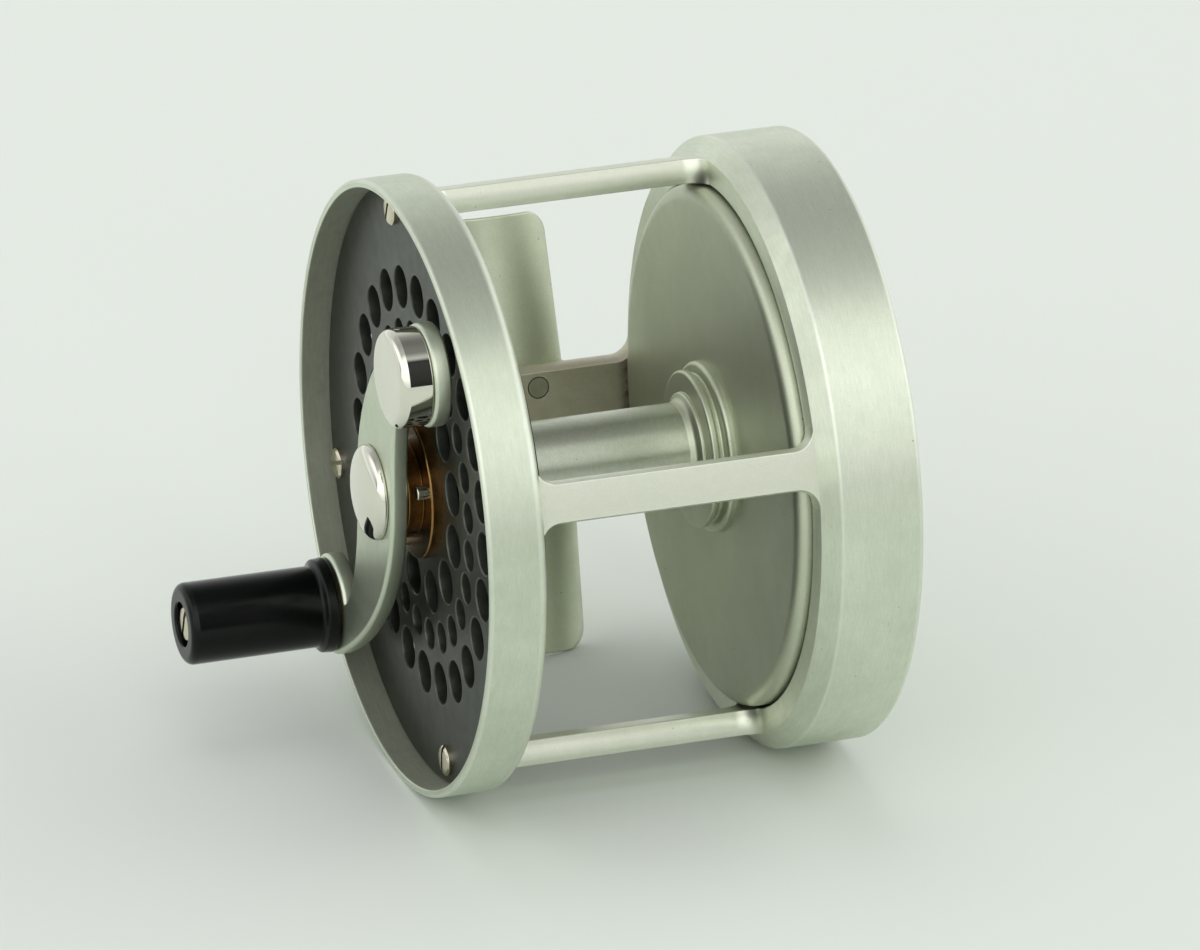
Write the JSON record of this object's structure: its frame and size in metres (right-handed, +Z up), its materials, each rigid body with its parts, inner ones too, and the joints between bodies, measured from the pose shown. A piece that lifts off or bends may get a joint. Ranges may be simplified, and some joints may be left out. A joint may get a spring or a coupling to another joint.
{
  "type": "fly reel",
  "caption": "Fly fishing reel with a caged frame, perforated end plate, balanced S-shaped crank with a black knob, drum brake dial and saddle foot.",
  "frame": {"origin": "centre of the bounding box, at the plane the reel stands on", "axes": "+Z up; +X along the spool axis, from the crank towards the brake housing; +Y towards the foot"},
  "size_m": [0.0946, 0.098, 0.0889],
  "materials": {
    "satin_aluminium": "brushed satin",
    "blasted_aluminium": "fine bead-blasted",
    "dark_anodised": "dark grey anodised, matt",
    "polished_metal": "mirror polished",
    "steel": "turned",
    "nickel": "nickel plated",
    "bronze": "turned bronze",
    "black_composite": "polished black",
    "brake_leather": "brown, smooth"
  },
  "bodies": {
    "frame": {"frame": "satin_aluminium", "face_plate": "dark_anodised", "plate_screw_1": "nickel", "plate_screw_2": "nickel", "plate_screw_3": "nickel", "plate_screw_4": "nickel", "crank_bearing": "bronze", "bearing_rivet_1": "steel", "bearing_rivet_2": "steel", "bearing_rivet_3": "steel", "rear_cover": "satin_aluminium", "cover_screw_1": "nickel", "cover_screw_2": "nickel", "cover_screw_3": "nickel", "cover_screw_4": "nickel", "spindle_bush": "bronze", "foot": "blasted_aluminium", "foot_rivet_1": "steel", "foot_rivet_2": "steel", "shoe_pivot_pin": "steel", "shoe_spring": "steel", "check_pawl_pin": "steel", "check_spring": "steel"},
    "rotor": {"spindle": "steel", "crank_arm": "blasted_aluminium", "crank_cap_nut": "polished_metal", "counterweight": "polished_metal", "counterweight_screw": "steel", "knob_bush": "bronze", "knob_screw": "nickel", "spool_front_flange": "dark_anodised", "spool_arbor": "satin_aluminium", "spool_hub": "blasted_aluminium", "spool_rear_flange": "blasted_aluminium", "brake_drum": "steel", "check_wheel": "steel"},
    "knob": {"handle_knob": "black_composite"},
    "drag_dial": {"drag_cam": "steel", "drag_knob": "satin_aluminium", "drag_knob_screw": "nickel"},
    "foot_side_shoe": {"brake_shoe_foot_side": "steel", "brake_pad_foot_side": "brake_leather"},
    "front_side_shoe": {"brake_shoe_front_side": "steel", "brake_pad_front_side": "brake_leather"},
    "pawl": {"check_pawl": "steel"}
  },
  "joints": [
    {"name": "spool_spin", "type": "hinge", "parent": "frame", "child": "rotor", "pos_m": [0.0077, -0.00453, 0.04446], "axis": [1, 0, 0], "continuous": true},
    {"name": "knob_spin", "type": "hinge", "parent": "rotor", "child": "knob", "pos_m": [-0.0363, 0.01689, 0.01792], "axis": [1, 0, 0], "continuous": true},
    {"name": "drag_turn", "type": "hinge", "parent": "frame", "child": "drag_dial", "pos_m": [0.0437, -0.00453, 0.06896], "axis": [1, 0, 0], "range_deg": [0, 90], "deforming": ["shoe_spring"]},
    {"name": "foot_side_shoe_swing", "type": "hinge", "parent": "frame", "child": "foot_side_shoe", "pos_m": [0.0349, -0.00453, 0.01996], "axis": [-1, 0, 0], "range_deg": [0, 0.95]},
    {"name": "front_side_shoe_swing", "type": "hinge", "parent": "frame", "child": "front_side_shoe", "pos_m": [0.0349, -0.00453, 0.01996], "axis": [1, 0, 0], "range_deg": [0, 0.95]},
    {"name": "pawl_lift", "type": "hinge", "parent": "frame", "child": "pawl", "pos_m": [0.0323, -0.01673, 0.03496], "axis": [1, 0, 0], "range_deg": [0, 6], "stiffness_Nm_per_rad": 0.01, "springref_deg": -5.73, "deforming": ["check_spring"]}
  ],
  "couplings": [
    {"joint": "foot_side_shoe_swing", "follows": "drag_turn", "ratio": 0.010394},
    {"joint": "front_side_shoe_swing", "follows": "drag_turn", "ratio": 0.010394}
  ]
}
